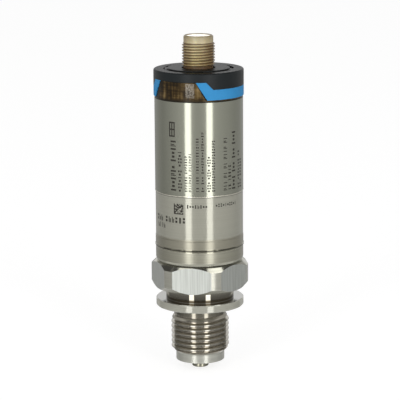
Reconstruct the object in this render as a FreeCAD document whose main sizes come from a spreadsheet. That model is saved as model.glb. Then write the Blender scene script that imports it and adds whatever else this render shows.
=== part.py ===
"""Compact pressure transmitter with a round plug connector, as a parametric FreeCAD document.

Millimetres, +Z up along the axis. The origin is on the axis in the sealing face of the threaded
spigot, where the gasket of the fitting sits. Every driving dimension is a cell of the sheet "sizes".
Each piece is modelled in its own frame, with z = 0 at its foot or seat, and placed at a level worked
out from those cells. The pipe thread is cut; the plug's fine thread is a plain cylinder at its crest.
"""

import FreeCAD, Part
import os
import re

import Sketcher

SIZES = {
    # clearances between pieces
    "slip_gap": 0.02,
    "plastic_gap": 0.1,
    # housing tube, whose radius the other round pieces follow
    "tube_radius": 15.81,
    "tube_wall": 1.0,
    "tube_length": 33.5,
    "tube_lead_in": 0.4,
    # process connection, turned from one bar
    "port_radius": 1.5,
    "pin_radius": 3.0,
    "pin_length": 3.0,
    "stub_radius": 8.75,
    "stub_length": 3.0,
    "thread_radius": 10.4775,
    "thread_pitch": 1.814,
    "thread_depth": 1.162,
    "thread_angle": 55.0,
    "cutter_overrun": 0.1,
    "spigot_length": 20.4,
    "undercut_relief": 0.02,
    "undercut_width": 3.3,
    "runout_height": 2.2,
    "flange_inset": 0.01,
    "flange_thickness": 2.8,
    "edge_break": 0.3,
    "neck_radius": 12.3,
    "neck_length": 4.1,
    "flat_proud": 0.19,
    "corner_proud": 1.5,
    "hex_height": 9.65,
    "hex_chamfer_run": 1.55,
    "hex_top_chamfer": 1.55,
    "hex_foot_chamfer": 1.8,
    "collar_inset": 0.06,
    "collar_height": 6.05,
    "collar_taper_height": 1.45,
    "collar_taper": 0.45,
    "register_height": 2.5,
    "pocket_wall": 2.36,
    "pocket_depth": 9.0,
    "chamber_depth": 0.6,
    "seat_width": 1.5,
    # sensor sleeve, welded on the process connection
    "sleeve_inset": 0.11,
    "sleeve_length": 19.7,
    "sleeve_band_height": 3.4,
    "sleeve_band_proud": 0.1,
    "sleeve_register_wall": 1.39,
    "seam_proud": 0.22,
    "seam_width": 0.8,
    # measuring cell
    "cell_height": 7.4,
    "membrane_thickness": 0.12,
    "wave_height": 0.16,
    "wave_pitch": 1.8,
    "oil_gap": 0.3,
    "oil_passage_radius": 0.6,
    "cell_floor": 2.4,
    "chip_cavity_radius": 4.4,
    "displacer_bore_radius": 2.2,
    "displacer_height": 1.5,
    "header_radius": 6.0,
    "header_thickness": 2.0,
    "header_depth": 3.0,
    "bead_radius": 0.9,
    "lead_circle_radius": 4.0,
    "lead_radius": 0.25,
    "lead_foot": 0.3,
    "lead_head": 0.6,
    "vent_tube_radius": 0.5,
    "vent_tube_bore": 0.3,
    "vent_tube_head": 1.0,
    "fill_passage_radius": 0.4,
    "fill_ball_radius": 0.8,
    "fill_hole_depth": 2.6,
    "chip_side": 2.0,
    "chip_thickness": 0.5,
    "pedestal_side": 2.4,
    "pedestal_height": 0.8,
    # boards and their carrier
    "support_ring_height": 2.5,
    "cell_board_inset": 2.4,
    "cell_board_seat": 1.4,
    "board_thickness": 1.0,
    "carrier_wall": 1.8,
    "carrier_ring_height": 2.5,
    "carrier_gap": 0.2,
    "rail_inset": 0.7,
    "rail_depth": 4.0,
    "rail_width": 5.0,
    "rail_slot": 1.4,
    "main_board_lift": 2.0,
    "board_gap": 2.0,
    "top_board_thickness": 1.2,
    "asic_side": 5.0,
    "asic_height": 0.9,
    "asic_level": 9.0,
    "controller_side": 7.0,
    "controller_height": 1.0,
    "controller_level": 18.0,
    "capacitor_length": 2.0,
    "capacitor_width": 1.25,
    "capacitor_height": 0.8,
    "capacitor_pitch": 3.0,
    "capacitor_level": 14.0,
    "diode_length": 4.3,
    "diode_width": 3.6,
    "diode_height": 2.2,
    "diode_pitch": 6.0,
    "diode_level": 30.0,
    "flex_width": 3.2,
    "flex_thickness": 0.15,
    "flex_reach": 7.0,
    "flex_lap": 4.0,
    "flex_bend_radius": 1.5,
    "link_width": 11.0,
    "link_depth": 2.4,
    "link_height": 2.6,
    "link_pin_side": 0.6,
    "link_pin_pitch": 2.54,
    "link_pin_head": 0.5,
    # plug body
    "plug_flange_inset": 0.06,
    "plug_flange_thickness": 0.8,
    "skirt_length": 10.2,
    "skirt_lead": 0.6,
    "skirt_wall": 1.41,
    "ledge_width": 1.0,
    "ledge_height": 1.8,
    "recess_height": 7.4,
    "plate_thickness": 2.1,
    "rim_wall": 2.55,
    "window_inset": 0.05,
    "window_gap_angle": 0.3,
    "o_ring_section": 0.89,
    "o_ring_room": 0.26,
    "upper_o_ring_depth": 2.2,
    "lower_o_ring_depth": 5.4,
    "snap_ring_depth": 8.2,
    "snap_ring_thickness": 0.8,
    "snap_ring_width": 1.0,
    "snap_ring_bite": 0.3,
    "snap_ring_half_opening": 14.0,
    "plug_neck_length": 3.6,
    "plug_thread_radius": 5.9,
    "plug_thread_depth": 0.6,
    "plug_thread_length": 8.5,
    "plug_lead_length": 2.5,
    "plug_chamfer": 0.4,
    "socket_radius": 4.2,
    "socket_depth": 8.6,
    "socket_chamfer": 0.25,
    "key_width": 1.2,
    "key_height": 0.6,
    "contact_radius": 0.5,
    "contact_circle_radius": 2.75,
    "contact_recess": 1.2,
    "contact_tip": 0.3,
    "contact_tail": 0.5,
    "filter_thickness": 0.3,
    "vent_hole_radius": 0.6,
    # cap rings
    "cap_turn": -20.6,
    "ring_proud": 0.26,
    "ring_wall": 0.52,
    "liner_wall": 0.4,
    "ring_foot_gap": 0.05,
    "ring_height": 9.35,
    "ring_roof": 1.2,
    "ring_edge_radius": 0.5,
    "accent_height": 3.65,
    "window_height": 6.25,
    "window_foot_half": 41.9,
    "window_head_half": 27.4,
    "panel_foot_half": 49.6,
    "panel_head_half": 40.6,
    "panel_gap_angle": 0.1,
    "disc_gap": 1.3,
    "disc_wall": 0.8,
    "disc_proud": 0.3,
    "disc_edge": 0.2,
    "disc_notch_width": 1.6,
    "disc_notch_height": 0.8,
    "tongue_width": 3.4,
    "wide_tongue_width": 6.6,
    "tongue_thickness": 0.8,
}

# Levels above the sealing face, as expressions of the sizes
HEX_FOOT = "(spigot_length + flange_thickness + neck_length)"
HEX_TOP = f"({HEX_FOOT} + hex_height)"
SHOULDER = f"({HEX_TOP} + collar_height)"
POCKET_FLOOR = f"({SHOULDER} - pocket_depth)"
SPIGOT_TOP = f"({SHOULDER} + register_height)"
TUBE_FOOT = f"({SHOULDER} + sleeve_length)"
TUBE_TOP = f"({TUBE_FOOT} + tube_length)"
CELL_FOOT = f"({POCKET_FLOOR} + membrane_thickness)"
CELL_TOP = f"({CELL_FOOT} + cell_height)"
HEADER_SEAT = f"({CELL_TOP} - header_depth)"
CELL_BOARD_FOOT = f"({CELL_TOP} + support_ring_height)"
CELL_BOARD_TOP = f"({CELL_BOARD_FOOT} + board_thickness)"
SKIRT_FOOT = f"({TUBE_TOP} - skirt_length)"
CARRIER_TOP = f"({SKIRT_FOOT} - carrier_gap)"
LEDGE = f"({TUBE_TOP} + ledge_height)"
TOP_BOARD_FOOT = f"({LEDGE} - top_board_thickness)"
MAIN_BOARD_FOOT = f"({SPIGOT_TOP} + carrier_ring_height + main_board_lift)"
MAIN_BOARD_TOP = f"({TOP_BOARD_FOOT} - board_gap)"
RING_FOOT = f"({TUBE_TOP} + plug_flange_thickness + ring_foot_gap)"
RECESS_FLOOR = f"({TUBE_TOP} + recess_height)"
SOCKET_MOUTH = "(recess_height + plug_neck_length + plug_thread_length + plug_lead_length)"
SOCKET_FLOOR = f"({SOCKET_MOUTH} - socket_depth)"

# Radii that follow one another from the housing tube inwards
TUBE_BORE = "(tube_radius - tube_wall)"
SLEEVE_RADIUS = "(tube_radius - sleeve_inset)"
FLAT_DISTANCE = "(tube_radius + flat_proud)"
BAR_RADIUS = f"({FLAT_DISTANCE} + corner_proud)"
SLEEVE_BORE = f"({TUBE_BORE} - slip_gap - sleeve_register_wall)"
REGISTER_RADIUS = f"({SLEEVE_BORE} - slip_gap)"
POCKET_RADIUS = f"({REGISTER_RADIUS} - pocket_wall)"
CELL_RADIUS = f"({POCKET_RADIUS} - slip_gap)"
CHAMBER_RADIUS = f"({CELL_RADIUS} - seat_width)"
FILL_OFFSET = f"((header_radius + {CELL_RADIUS}) / 2)"
CELL_BOARD_RADIUS = f"({POCKET_RADIUS} - cell_board_inset)"
CARRIER_RADIUS = f"({SLEEVE_BORE} - plastic_gap)"
RAIL_OUTER = f"({CARRIER_RADIUS} - rail_inset)"
RAIL_INNER = f"({RAIL_OUTER} - rail_depth)"
MAIN_BOARD_HALF = f"({RAIL_INNER} + rail_slot - plastic_gap)"
SKIRT_RADIUS = f"({TUBE_BORE} - plastic_gap)"
O_RING_FLOOR = f"({TUBE_BORE} - 2 * o_ring_section - slip_gap)"
SKIRT_BORE = f"({O_RING_FLOOR} - skirt_wall)"
LEDGE_RADIUS = f"({SKIRT_BORE} - ledge_width)"
SNAP_GROOVE_RADIUS = f"({TUBE_BORE} + snap_ring_bite)"
SNAP_RING_BORE = f"({SNAP_GROOVE_RADIUS} - slip_gap - snap_ring_width)"
PLUG_FLANGE_RADIUS = "(tube_radius - plug_flange_inset)"
RING_RADIUS = "(tube_radius + ring_proud)"
LINER_RADIUS = f"({RING_RADIUS} - ring_wall)"
LINER_BORE = f"({LINER_RADIUS} - liner_wall)"
WINDOW_WALL = f"({LINER_BORE} - plastic_gap)"
WINDOW_FACE = f"({PLUG_FLANGE_RADIUS} - window_inset)"
RIM_BORE = f"({WINDOW_WALL} - rim_wall)"
THREAD_ROOT = "(thread_radius - thread_depth)"
PLUG_ROOT = "(plug_thread_radius - plug_thread_depth)"
DISC_BORE = "(plug_thread_radius + plastic_gap)"
DISC_RADIUS = f"({RIM_BORE} - disc_gap)"
FILTER_OFFSET = f"(({DISC_BORE} + {DISC_RADIUS}) / 2)"
FILTER_RADIUS = f"(({DISC_RADIUS} - {DISC_BORE}) / 2 - disc_wall)"

LEAD_COUNT = 5
CONTACT_COUNT = 4
WINDOW_COUNT = 2
FLAT_COUNT = 6
FULL_TURN = 360
KEY_ANGLE = 45
TONGUES = ((-168, "wide_tongue_width"), (-63, "tongue_width"), (-4, "tongue_width"))
NEAR = 1e-6  # two places this close are the same

doc = FreeCAD.newDocument("pressure_transmitter")
sheet = doc.addObject("Spreadsheet::Sheet", "sizes")
for row, (alias, value) in enumerate(SIZES.items(), start=1):
    sheet.set(f"A{row}", alias)
    sheet.set(f"B{row}", str(value))
    sheet.setAlias(f"B{row}", alias)
doc.recompute()

pieces = []


# ---- tying shapes to the sheet -----------------------------------------------------------------


def cells(expression):
    """The expression with the sheet's name put before each size that it uses."""
    return re.sub(r"[a-z_]+", lambda m: f"sizes.{m[0]}" if m[0] in SIZES else m[0], str(expression))


def value_of(expression):
    return float(sheet.evalExpression(cells(expression)))


def bind(thing, **properties):
    """Ties properties to expressions; two underscores in a name stand for a dot."""
    for name, expression in properties.items():
        thing.setExpression(name.replace("__", "."), cells(expression))


def place(thing, x="0", y="0", z="0"):
    bind(thing, Placement__Base__x=x, Placement__Base__y=y, Placement__Base__z=z)


def on_circle(radius, angle):
    """The point at an angle on a circle, as two expressions."""
    return f"{radius} * cos({angle})", f"{radius} * sin({angle})"


# ---- bodies, sketches and features -------------------------------------------------------------


def new_body(label, level="0"):
    """An empty body, which is a piece of the transmitter, with its foot or seat at a level."""
    body = doc.addObject("PartDesign::Body", label)
    body.Label = label
    place(body, z=level)
    pieces.append(body)
    return body


def origin(body, role):
    return next(f for f in body.Origin.OriginFeatures if f.Role == role)


def sketch_on(body, name, role, height="0"):
    """A sketch on one of the body's origin planes, lifted along the plane's normal."""
    sketch = body.newObject("Sketcher::SketchObject", name)
    sketch.AttachmentSupport = [(origin(body, role), "")]
    sketch.MapMode = "FlatFace"
    bind(sketch, AttachmentOffset__Base__z=height)
    return sketch


def tie(sketch, kind, *where, expression):
    """One driving constraint whose value is an expression."""
    index = sketch.addConstraint(Sketcher.Constraint(kind, *where, value_of(expression)))
    sketch.setExpression(f"Constraints[{index}]", cells(expression))


def add_outline(sketch, corners):
    """A closed outline of straight edges through the corners, each given as two expressions."""
    first = sketch.GeometryCount
    spots = [FreeCAD.Vector(value_of(x), value_of(y), 0) for x, y in corners]
    count = len(spots)
    for i in range(count):
        sketch.addGeometry(Part.LineSegment(spots[i], spots[(i + 1) % count]), False)
    for i in range(count):
        here, after = first + i, first + (i + 1) % count
        sketch.addConstraint(Sketcher.Constraint("Coincident", here, 2, after, 1))
    for i, (x, y) in enumerate(corners):
        tie(sketch, "DistanceX", -1, 1, first + i, 1, expression=x)
        tie(sketch, "DistanceY", -1, 1, first + i, 1, expression=y)


def add_circle(sketch, radius, x="0", y="0"):
    index = sketch.GeometryCount
    centre = FreeCAD.Vector(value_of(x), value_of(y), 0)
    sketch.addGeometry(Part.Circle(centre, FreeCAD.Vector(0, 0, 1), value_of(radius)), False)
    tie(sketch, "Radius", index, expression=radius)
    tie(sketch, "DistanceX", -1, 1, index, 3, expression=x)
    tie(sketch, "DistanceY", -1, 1, index, 3, expression=y)


def rectangle(x0, y0, x1, y1):
    return [(x0, y0), (x1, y0), (x1, y1), (x0, y1)]


def swung(corners, angle):
    """The corners, swung round the axis by an angle."""
    c, s = f"cos({angle})", f"sin({angle})"
    return [(f"({x}) * {c} - ({y}) * {s}", f"({x}) * {s} + ({y}) * {c}") for x, y in corners]


def turned(body, name, corners, feature="Revolution"):
    """Turns an outline of (radius, height) corners round the body's axis."""
    sketch = sketch_on(body, name + "_outline", "XZ_Plane")
    add_outline(sketch, corners)
    made = body.newObject("PartDesign::" + feature, name)
    made.Profile = sketch
    made.ReferenceAxis = (sketch, ["V_Axis"])
    made.Angle = FULL_TURN
    doc.recompute()
    return made


def straight(body, name, feature, draw, height, length, upwards=True):
    """Pads or pockets what draw(sketch) draws, from a height, by a length."""
    sketch = sketch_on(body, name + "_outline", "XY_Plane", height)
    draw(sketch)
    made = body.newObject("PartDesign::" + feature, name)
    made.Profile = sketch
    bind(made, Length=length)
    # a pad grows along the sketch's normal, and a pocket goes against it
    made.Reversed = upwards if feature == "Pocket" else not upwards
    doc.recompute()
    return made


def pad(body, name, draw, height, length):
    return straight(body, name, "Pad", draw, height, length)


def pocket(body, name, draw, height, length, upwards=True):
    return straight(body, name, "Pocket", draw, height, length, upwards)


def wedge_pair(body, name, feature, low, high):
    """Two opposite wedges with flat slanting sides, each end given as (height, half angle)."""
    sketches = []
    for number, (height, half) in enumerate((low, high)):
        sketch = sketch_on(body, f"{name}_outline_{number}", "XY_Plane", height)
        reach = f"2 * {RING_RADIUS}"
        corners = [("0", "0")]
        for sign in "-+":
            angle = f"cap_turn {sign} {half}"
            corners.append((f"{reach} * sin({angle})", f"-{reach} * cos({angle})"))
        add_outline(sketch, corners)
        sketches.append(sketch)
    wedge = body.newObject("PartDesign::" + feature, name)
    wedge.Profile = sketches[0]
    wedge.Sections = [(sketches[1], "")]
    wedge.Ruled = True
    doc.recompute()
    return repeated(body, name + "_pair", wedge, WINDOW_COUNT)


def repeated(body, name, feature, count):
    """Repeats a feature evenly round the body's axis."""
    pattern = body.newObject("PartDesign::PolarPattern", name)
    pattern.Originals = [feature]
    pattern.Axis = (origin(body, "Z_Axis"), [""])
    pattern.Angle = FULL_TURN
    pattern.Occurrences = count
    body.Tip = pattern
    doc.recompute()
    return pattern


def rounded(body, name, base, radius, chosen):
    """Fillets the edges of the base feature that chosen(edge) picks."""
    names = [f"Edge{i}" for i, edge in enumerate(base.Shape.Edges, start=1) if chosen(edge)]
    fillet = body.newObject("PartDesign::Fillet", name)
    fillet.Base = (base, names)
    bind(fillet, Radius=radius)
    doc.recompute()
    return fillet


# ---- plain solids ------------------------------------------------------------------------------


def block(name, length, width, height, x, y, z):
    """A box standing at its lowest corner."""
    box = doc.addObject("Part::Box", name)
    bind(box, Length=length, Width=width, Height=height)
    place(box, x, y, z)
    return box


def rod(name, radius, height, x="0", y="0", z="0"):
    cylinder = doc.addObject("Part::Cylinder", name)
    bind(cylinder, Radius=radius, Height=height)
    place(cylinder, x, y, z)
    return cylinder


def cut(name, base, tool):
    made = doc.addObject("Part::Cut", name)
    made.Base = base
    made.Tool = tool
    return made


def as_piece(thing, label):
    """Counts a plain solid, or a group of them, as a piece under its own label."""
    thing.Label = label
    pieces.append(thing)
    return thing


def group(label, members):
    """Like solids that share one name."""
    made = doc.addObject("Part::Compound", label)
    made.Links = members
    return as_piece(made, label)


# ---- pressure-bearing pieces -------------------------------------------------------------------


def process_connection():
    """Pin, gasket stub, threaded spigot, flange, hexagon and collar, cut from one bar."""
    body = new_body("process_connection")
    thread_foot = "stub_length + thread_radius - stub_radius"
    undercut_foot = "(spigot_length - undercut_width)"
    flange_top = "(spigot_length + flange_thickness)"
    undercut_radius = f"({THREAD_ROOT} - undercut_relief)"
    flange_radius = "(tube_radius - flange_inset)"
    collar_radius = "(tube_radius - collar_inset)"
    seam_radius = f"({collar_radius} + seam_proud)"
    chamber_roof = f"({POCKET_FLOOR} - chamber_depth)"
    turned(body, "turned_blank", [
        ("port_radius", "-pin_length"),
        ("pin_radius - edge_break", "-pin_length"),
        ("pin_radius", "edge_break - pin_length"),
        ("pin_radius", "0"),
        ("stub_radius", "0"),
        ("stub_radius", "stub_length"),
        ("thread_radius", thread_foot),
        ("thread_radius", f"{undercut_foot} - runout_height"),
        (undercut_radius, undercut_foot),
        (undercut_radius, "spigot_length"),
        (f"{flange_radius} - edge_break", "spigot_length"),
        (flange_radius, "spigot_length + edge_break"),
        (flange_radius, f"{flange_top} - edge_break"),
        (f"{flange_radius} - edge_break", flange_top),
        ("neck_radius", flange_top),
        ("neck_radius", HEX_FOOT),
        (f"{BAR_RADIUS} - hex_chamfer_run", HEX_FOOT),
        (BAR_RADIUS, f"{HEX_FOOT} + hex_foot_chamfer"),
        (BAR_RADIUS, f"{HEX_TOP} - hex_top_chamfer"),
        (f"{BAR_RADIUS} - hex_chamfer_run", HEX_TOP),
        (f"{collar_radius} - collar_taper", HEX_TOP),
        (collar_radius, f"{HEX_TOP} + collar_taper_height"),
        (collar_radius, f"{SHOULDER} - seam_width / 2"),
        (seam_radius, f"{SHOULDER} - seam_width / 4"),
        (seam_radius, SHOULDER),
        (REGISTER_RADIUS, SHOULDER),
        (REGISTER_RADIUS, SPIGOT_TOP),
        (POCKET_RADIUS, SPIGOT_TOP),
        (POCKET_RADIUS, POCKET_FLOOR),
        (CHAMBER_RADIUS, POCKET_FLOOR),
        (CHAMBER_RADIUS, chamber_roof),
        ("port_radius", chamber_roof),
    ])
    beside_flat = rectangle(f"-{BAR_RADIUS}", f"-2 * {BAR_RADIUS}", BAR_RADIUS, f"-{FLAT_DISTANCE}")
    flat = pocket(body, "flat", lambda s: add_outline(s, beside_flat), HEX_FOOT, "hex_height")
    repeated(body, "flats", flat, FLAT_COUNT)
    pipe_thread(body, "(stub_length - thread_pitch)", f"({undercut_foot} + thread_pitch / 2)")


def pipe_thread(body, foot, head):
    """Cuts the right-hand V groove, whose ends lie in the clear over the stub and in the undercut."""
    flank = "tan(thread_angle / 2)"
    mouth = "(thread_radius + cutter_overrun)"
    half_root = f"((thread_pitch / 2 - thread_depth * {flank}) / 2)"
    half_mouth = f"({half_root} + (thread_depth + cutter_overrun) * {flank})"
    sketch = sketch_on(body, "thread_outline", "XZ_Plane")
    add_outline(sketch, [
        (THREAD_ROOT, f"{foot} - {half_root}"),
        (mouth, f"{foot} - {half_mouth}"),
        (mouth, f"{foot} + {half_mouth}"),
        (THREAD_ROOT, f"{foot} + {half_root}"),
    ])
    groove = body.newObject("PartDesign::SubtractiveHelix", "thread")
    groove.Profile = sketch
    groove.ReferenceAxis = (sketch, ["V_Axis"])
    groove.Mode = "pitch-height-angle"
    bind(groove, Pitch="thread_pitch", Height=f"{head} - {foot}")
    doc.recompute()


def sensor_body():
    """Sleeve round the measuring cell, with a turned band at its foot and a register at its head."""
    body = new_body("sensor_body", SHOULDER)
    band_radius = f"({SLEEVE_RADIUS} + sleeve_band_proud)"
    seam_radius = "(tube_radius - collar_inset + seam_proud)"
    head = "(sleeve_length + register_height)"
    turned(body, "sleeve", [
        (SLEEVE_BORE, "0"),
        (seam_radius, "0"),
        (seam_radius, "seam_width / 4"),
        (band_radius, "seam_width / 2"),
        (band_radius, "sleeve_band_height"),
        (SLEEVE_RADIUS, "sleeve_band_height + sleeve_band_proud"),
        (SLEEVE_RADIUS, "sleeve_length"),
        (f"{TUBE_BORE} - slip_gap", "sleeve_length"),
        (f"{TUBE_BORE} - slip_gap", f"{head} - edge_break"),
        (f"{TUBE_BORE} - slip_gap - edge_break", head),
        (SLEEVE_BORE, head),
    ])


def housing_tube():
    """Drawn tube, with a lead-in for the seals and a groove for the retaining ring inside."""
    body = new_body("housing_tube", TUBE_FOOT)
    groove_middle = "(tube_length - snap_ring_depth)"
    groove_half = "(snap_ring_thickness / 2 + slip_gap)"
    turned(body, "drawn_tube", [
        (TUBE_BORE, "0"),
        ("tube_radius", "0"),
        ("tube_radius", "tube_length"),
        (f"{TUBE_BORE} + tube_lead_in", "tube_length"),
        (TUBE_BORE, "tube_length - tube_lead_in"),
    ])
    turned(body, "retaining_groove", rectangle(
        "0", f"{groove_middle} - {groove_half}", SNAP_GROOVE_RADIUS, f"{groove_middle} + {groove_half}",
    ), "Groove")


# ---- measuring cell ----------------------------------------------------------------------------


def isolating_diaphragm():
    """Thin welded membrane with concentric waves, between the pocket floor and the cell."""
    body = new_body("isolating_diaphragm", POCKET_FLOOR)
    waves = 4
    lower = [("0", "0")]
    for wave in range(waves):
        start = f"({wave} + 0.75) * wave_pitch"
        lower.append((start, "0"))
        lower.append((f"{start} + wave_pitch / 4", "wave_height"))
        lower.append((f"{start} + wave_pitch / 2", "wave_height"))
        lower.append((f"{start} + wave_pitch * 0.75", "0"))
    lower.append((CELL_RADIUS, "0"))
    upper = [(radius, f"{height} + membrane_thickness") for radius, height in reversed(lower)]
    turned(body, "waved_disc", lower + upper)


def cell_body():
    """Steel cell with its oil bed below, the chip's cavity inside and the header's seat on top."""
    body = new_body("cell_body", CELL_FOOT)
    seat = "(cell_height - header_depth)"
    seat_radius = "(header_radius + slip_gap)"
    turned(body, "turned_cell", [
        ("oil_passage_radius", "oil_gap"),
        (CHAMBER_RADIUS, "oil_gap"),
        (CHAMBER_RADIUS, "0"),
        (CELL_RADIUS, "0"),
        (CELL_RADIUS, "cell_height - edge_break"),
        (f"{CELL_RADIUS} - edge_break", "cell_height"),
        (seat_radius, "cell_height"),
        (seat_radius, seat),
        ("chip_cavity_radius", seat),
        ("chip_cavity_radius", "cell_floor"),
        ("oil_passage_radius", "cell_floor"),
    ])
    hole_foot = "(cell_height - fill_hole_depth)"
    pocket(body, "fill_hole", lambda s: add_circle(s, "fill_ball_radius + slip_gap", x=FILL_OFFSET),
           hole_foot, "fill_hole_depth")
    pocket(body, "fill_passage", lambda s: add_circle(s, "fill_passage_radius", x=FILL_OFFSET),
           "oil_gap", f"{hole_foot} - oil_gap")


def displacement_ring():
    """Ceramic ring that takes up room in the oil round the chip."""
    body = new_body("displacement_ring", f"{CELL_FOOT} + cell_floor")
    turned(body, "ring", rectangle(
        "displacer_bore_radius", "0", "chip_cavity_radius - plastic_gap", "displacer_height",
    ))


def lead_places():
    """Where the header's leads stand, evenly round the axis."""
    return [on_circle("lead_circle_radius", 90 + i * FULL_TURN / LEAD_COUNT) for i in range(LEAD_COUNT)]


def sensor_header():
    """Metal header with a sealed hole for each lead and one for the vent tube."""
    body = new_body("sensor_header", HEADER_SEAT)

    def draw(sketch):
        add_circle(sketch, "header_radius")
        add_circle(sketch, "vent_tube_radius + slip_gap")
        for x, y in lead_places():
            add_circle(sketch, "bead_radius", x, y)

    pad(body, "plate", draw, "0", "header_thickness")


def header_leads():
    """The leads, up through the cell's board, and the glass beads that seal them in the header."""
    beads = []
    leads = []
    length = f"{CELL_BOARD_TOP} + lead_head - {HEADER_SEAT} + lead_foot"
    for number, (x, y) in enumerate(lead_places()):
        spot = (x, y, HEADER_SEAT)
        bead = rod(f"bead_{number}", "bead_radius - slip_gap", "header_thickness", *spot)
        hole = rod(f"bead_hole_{number}", "lead_radius + slip_gap", "header_thickness", *spot)
        beads.append(cut(f"glass_bead_{number}", bead, hole))
        leads.append(rod(f"lead_{number}", "lead_radius", length, x, y, f"{HEADER_SEAT} - lead_foot"))
    group("glass_seals", beads)
    group("feedthrough_pins", leads)


def sensing_chip():
    """The chip under its glass pedestal, hung from the header, and the tube that vents its back."""
    pedestal_foot = f"({HEADER_SEAT} - pedestal_height)"
    half = "-pedestal_side / 2"
    solid = block("pedestal_block", "pedestal_side", "pedestal_side", "pedestal_height",
                  half, half, pedestal_foot)
    vent = rod("pedestal_vent", "vent_tube_bore", "pedestal_height", z=pedestal_foot)
    as_piece(cut("chip_pedestal", solid, vent), "chip_pedestal")
    half = "-chip_side / 2"
    chip = block("sensor_chip", "chip_side", "chip_side", "chip_thickness",
                 half, half, f"{pedestal_foot} - chip_thickness")
    as_piece(chip, "sensor_chip")
    length = "header_thickness + vent_tube_head"
    outside = rod("vent_tube_outside", "vent_tube_radius", length, z=HEADER_SEAT)
    inside = rod("vent_tube_inside", "vent_tube_bore", length, z=HEADER_SEAT)
    as_piece(cut("vent_tube", outside, inside), "vent_tube")


def fill_ball():
    """Steel ball pressed into the fill hole, resting on the edge of its passage."""
    ball = doc.addObject("Part::Sphere", "fill_ball")
    bind(ball, Radius="fill_ball_radius")
    rise = "sqrt(fill_ball_radius ^ 2 - fill_passage_radius ^ 2)"
    place(ball, x=FILL_OFFSET, z=f"{CELL_TOP} - fill_hole_depth + {rise} + slip_gap")
    as_piece(ball, "fill_ball")


# ---- boards and their carrier ------------------------------------------------------------------


def support_ring():
    """Plastic ring on the cell that carries the cell's own board."""
    body = new_body("support_ring", CELL_TOP)
    turned(body, "ring", rectangle(
        f"{CELL_BOARD_RADIUS} - cell_board_seat", "0",
        f"{POCKET_RADIUS} - plastic_gap", "support_ring_height",
    ))


def sensor_board():
    """Round board soldered to the header's leads."""
    body = new_body("sensor_board", CELL_BOARD_FOOT)

    def draw(sketch):
        add_circle(sketch, CELL_BOARD_RADIUS)
        add_circle(sketch, "vent_tube_radius")
        for x, y in lead_places():
            add_circle(sketch, "lead_radius + plastic_gap", x, y)

    pad(body, "board", draw, "0", "board_thickness")


def board_carrier():
    """Moulded carrier: a ring on the spigot, two slotted rails and a ring under the plug."""
    body = new_body("board_carrier", SPIGOT_TOP)
    height = f"({CARRIER_TOP} - {SPIGOT_TOP})"
    turned(body, "foot_ring", rectangle(
        f"{CARRIER_RADIUS} - carrier_wall", "0", CARRIER_RADIUS, "carrier_ring_height",
    ))

    def rails(sketch):
        for inner, outer in ((RAIL_INNER, RAIL_OUTER), (f"-{RAIL_OUTER}", f"-{RAIL_INNER}")):
            add_outline(sketch, rectangle(inner, "-rail_width / 2", outer, "rail_width / 2"))

    def slot(sketch):
        half = "(board_thickness / 2 + plastic_gap)"
        reach = f"({RAIL_INNER} + rail_slot)"
        add_outline(sketch, rectangle(f"-{reach}", f"-{half}", reach, half))

    pad(body, "rails", rails, "0", height)
    turned(body, "head_ring", rectangle(
        f"{RAIL_OUTER} - carrier_wall / 2", f"{height} - carrier_ring_height", SKIRT_RADIUS, height,
    ))
    slot_foot = "(carrier_ring_height + main_board_lift)"
    pocket(body, "board_slot", slot, slot_foot, f"{height} - {slot_foot}")


def main_board():
    """Upright board between the rails."""
    height = f"{MAIN_BOARD_TOP} - {MAIN_BOARD_FOOT}"
    board = block("main_board", f"2 * {MAIN_BOARD_HALF}", "board_thickness", height,
                  f"-{MAIN_BOARD_HALF}", "-board_thickness / 2", MAIN_BOARD_FOOT)
    as_piece(board, "main_board")


def board_parts():
    """Chips on one face of the main board, capacitors and surge diodes on the other."""
    for label, name in (("signal_asic", "asic"), ("microcontroller", "controller")):
        chip = block(label, f"{name}_side", f"{name}_height", f"{name}_side",
                     f"-{name}_side / 2", f"-board_thickness / 2 - {name}_height",
                     f"{MAIN_BOARD_FOOT} + {name}_level")
        as_piece(chip, label)
    for label, name, count in (("chip_capacitors", "capacitor", 5), ("surge_diodes", "diode", 2)):
        members = []
        for i in range(count):
            middle = f"{i - (count - 1) / 2} * {name}_pitch"
            members.append(block(
                f"{name}_{i}", f"{name}_width", f"{name}_height", f"{name}_length",
                f"{middle} - {name}_width / 2", "board_thickness / 2",
                f"{MAIN_BOARD_FOOT} + {name}_level",
            ))
        group(label, members)


def flex_cable():
    """Flat cable from the cell's board, round a bend and up the face of the main board."""
    body = new_body("flex_cable", CELL_BOARD_TOP)
    face = "(board_thickness / 2)"
    back = f"({face} + flex_thickness)"
    head = f"{MAIN_BOARD_FOOT} + flex_lap - {CELL_BOARD_TOP}"
    sketch = sketch_on(body, "strip_outline", "YZ_Plane", "-flex_width / 2")
    add_outline(sketch, [
        ("-flex_reach", "0"), (f"-{face}", "0"), (f"-{face}", head),
        (f"-{back}", head), (f"-{back}", "flex_thickness"), ("-flex_reach", "flex_thickness"),
    ])
    strip = body.newObject("PartDesign::Pad", "strip")
    strip.Profile = sketch
    bind(strip, Length="flex_width")
    doc.recompute()

    def edge_at(y, z):
        spot = (value_of(y), value_of(z))

        def chosen(edge):
            return all(abs(v.Y - spot[0]) < NEAR and abs(v.Z - spot[1]) < NEAR for v in edge.Vertexes)

        return chosen

    outer = rounded(body, "outer_bend", strip, "flex_bend_radius + flex_thickness", edge_at(f"-{face}", "0"))
    rounded(body, "inner_bend", outer, "flex_bend_radius", edge_at(f"-{back}", "flex_thickness"))


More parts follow.
